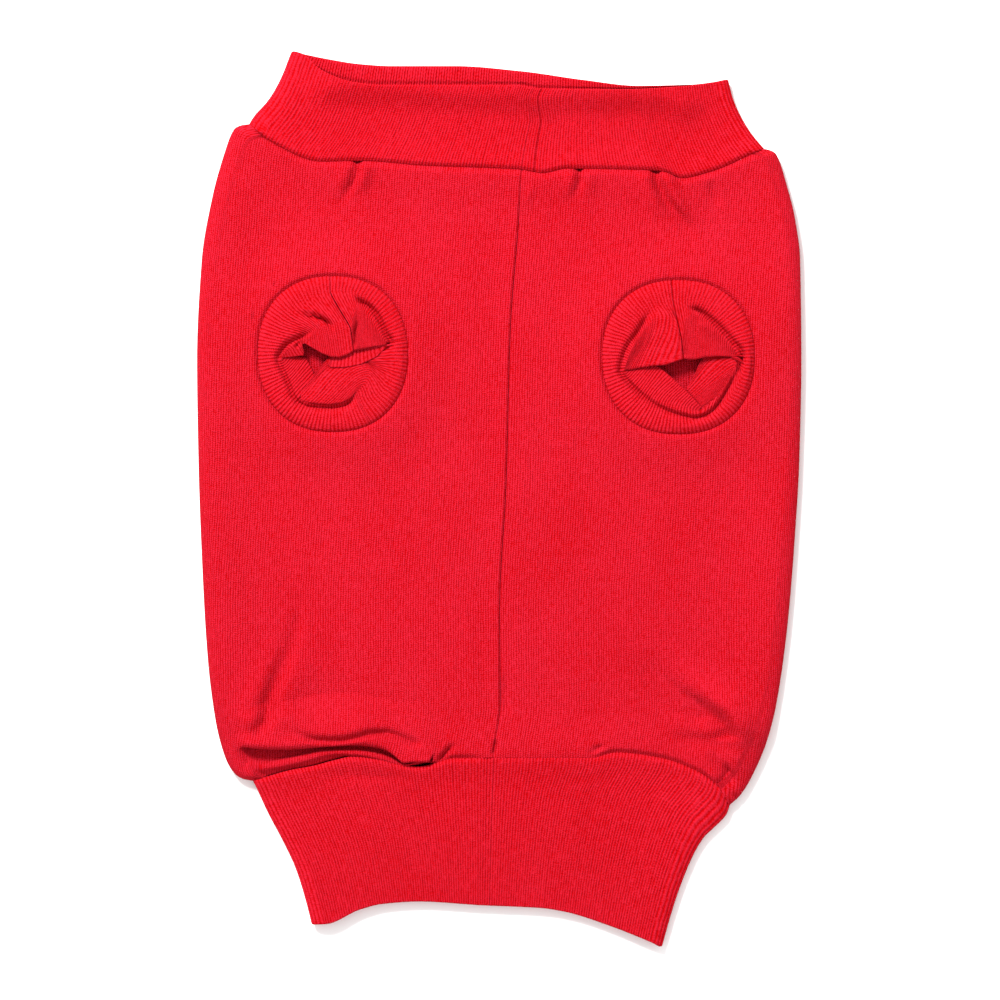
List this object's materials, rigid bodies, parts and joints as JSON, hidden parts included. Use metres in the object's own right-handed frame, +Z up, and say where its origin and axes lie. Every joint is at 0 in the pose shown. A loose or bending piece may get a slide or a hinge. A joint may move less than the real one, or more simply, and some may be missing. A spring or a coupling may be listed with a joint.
{
  "type": "dog sweatshirt",
  "caption": "Red knitted dog sweatshirt laid flat, belly side up: tube body with ribbed neck band, waistband and leg cuffs",
  "frame": {"origin": "on the surface that the garment lies on, under the middle of its outline", "axes": "+X across the garment, +Y towards the neck band, +Z up out of the belly side"},
  "size_m": [0.217, 0.3225, 0.0088],
  "materials": {
    "jersey": "matt brushed cotton sweatshirt knit",
    "rib": "matt cotton 1x1 rib knit, folded double"
  },
  "bodies": {
    "root": {"body": "jersey", "neck_band": "rib", "waistband": "rib", "leg_cuff_left": "rib", "leg_cuff_right": "rib"}
  },
  "joints": []
}
